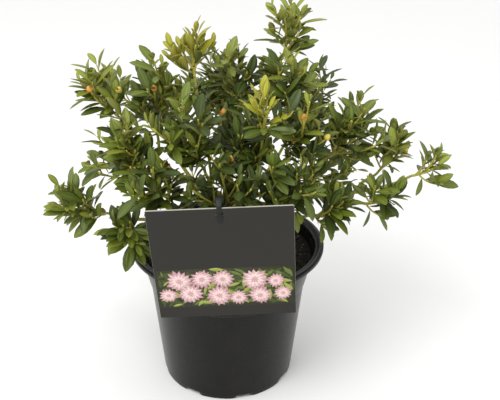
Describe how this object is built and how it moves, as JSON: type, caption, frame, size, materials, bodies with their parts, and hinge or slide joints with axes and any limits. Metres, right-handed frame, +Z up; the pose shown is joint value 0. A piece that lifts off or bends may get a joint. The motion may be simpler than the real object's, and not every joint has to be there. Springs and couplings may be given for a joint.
{
  "type": "potted rhododendron",
  "caption": "Young evergreen rhododendron in a round black nursery pot: short trunk, spreading boughs with masses of small leaves, compost, and a label card on a tie at the front of the rim.",
  "frame": {"origin": "centre of the pot's flat underside", "axes": "+Z up, -Y towards the front of the pot, where the label card hangs, +X to the right seen from the front"},
  "size_m": [0.482, 0.3543, 0.4575],
  "materials": {
    "black_plastic": "satin",
    "compost": "matte",
    "charcoal_card": "satin",
    "tie_plastic": "satin",
    "brown_bark": "matte",
    "green_leaf": "satin",
    "young_leaf": "satin"
  },
  "bodies": {
    "root": {"pot": "black_plastic", "soil": "compost", "label_card": "charcoal_card", "label_tie": "tie_plastic", "trunk": "brown_bark", "bough_leader_right": "brown_bark", "bough_top_right": "brown_bark", "bough_top_middle": "brown_bark", "bough_top_left_young": "brown_bark", "bough_top_left": "brown_bark", "bough_upper_left": "brown_bark", "bough_left": "brown_bark", "bough_left_low": "brown_bark", "bough_left_droop": "brown_bark", "bough_left_front": "brown_bark", "bough_centre_left": "brown_bark", "bough_centre": "brown_bark", "bough_centre_young": "brown_bark", "bough_centre_right": "brown_bark", "bough_front_middle": "brown_bark", "bough_front_right": "brown_bark", "bough_right": "brown_bark", "bough_right_low": "brown_bark", "bough_far_right_rise": "brown_bark", "bough_far_right": "brown_bark", "bough_far_right_low": "brown_bark", "bough_back_left": "brown_bark", "bough_back_left_low": "brown_bark", "bough_back_middle": "brown_bark", "bough_back_high": "brown_bark", "bough_back_right": "brown_bark", "bough_back_right_low": "brown_bark", "foliage_leader_right": "green_leaf", "foliage_top_right": "green_leaf", "foliage_top_middle": "green_leaf", "foliage_top_left_young": "young_leaf", "foliage_top_left": "green_leaf", "foliage_upper_left": "green_leaf", "foliage_left": "green_leaf", "foliage_left_low": "green_leaf", "foliage_left_droop": "green_leaf", "foliage_left_front": "green_leaf", "foliage_centre_left": "green_leaf", "foliage_centre": "green_leaf", "foliage_centre_young": "young_leaf", "foliage_centre_right": "green_leaf", "foliage_front_middle": "green_leaf", "foliage_front_right": "green_leaf", "foliage_right": "green_leaf", "foliage_right_low": "green_leaf", "foliage_far_right_rise": "green_leaf", "foliage_far_right": "green_leaf", "foliage_far_right_low": "green_leaf", "foliage_back_left": "green_leaf", "foliage_back_left_low": "green_leaf", "foliage_back_middle": "green_leaf", "foliage_back_high": "green_leaf", "foliage_back_right": "green_leaf", "foliage_back_right_low": "green_leaf"}
  },
  "joints": []
}
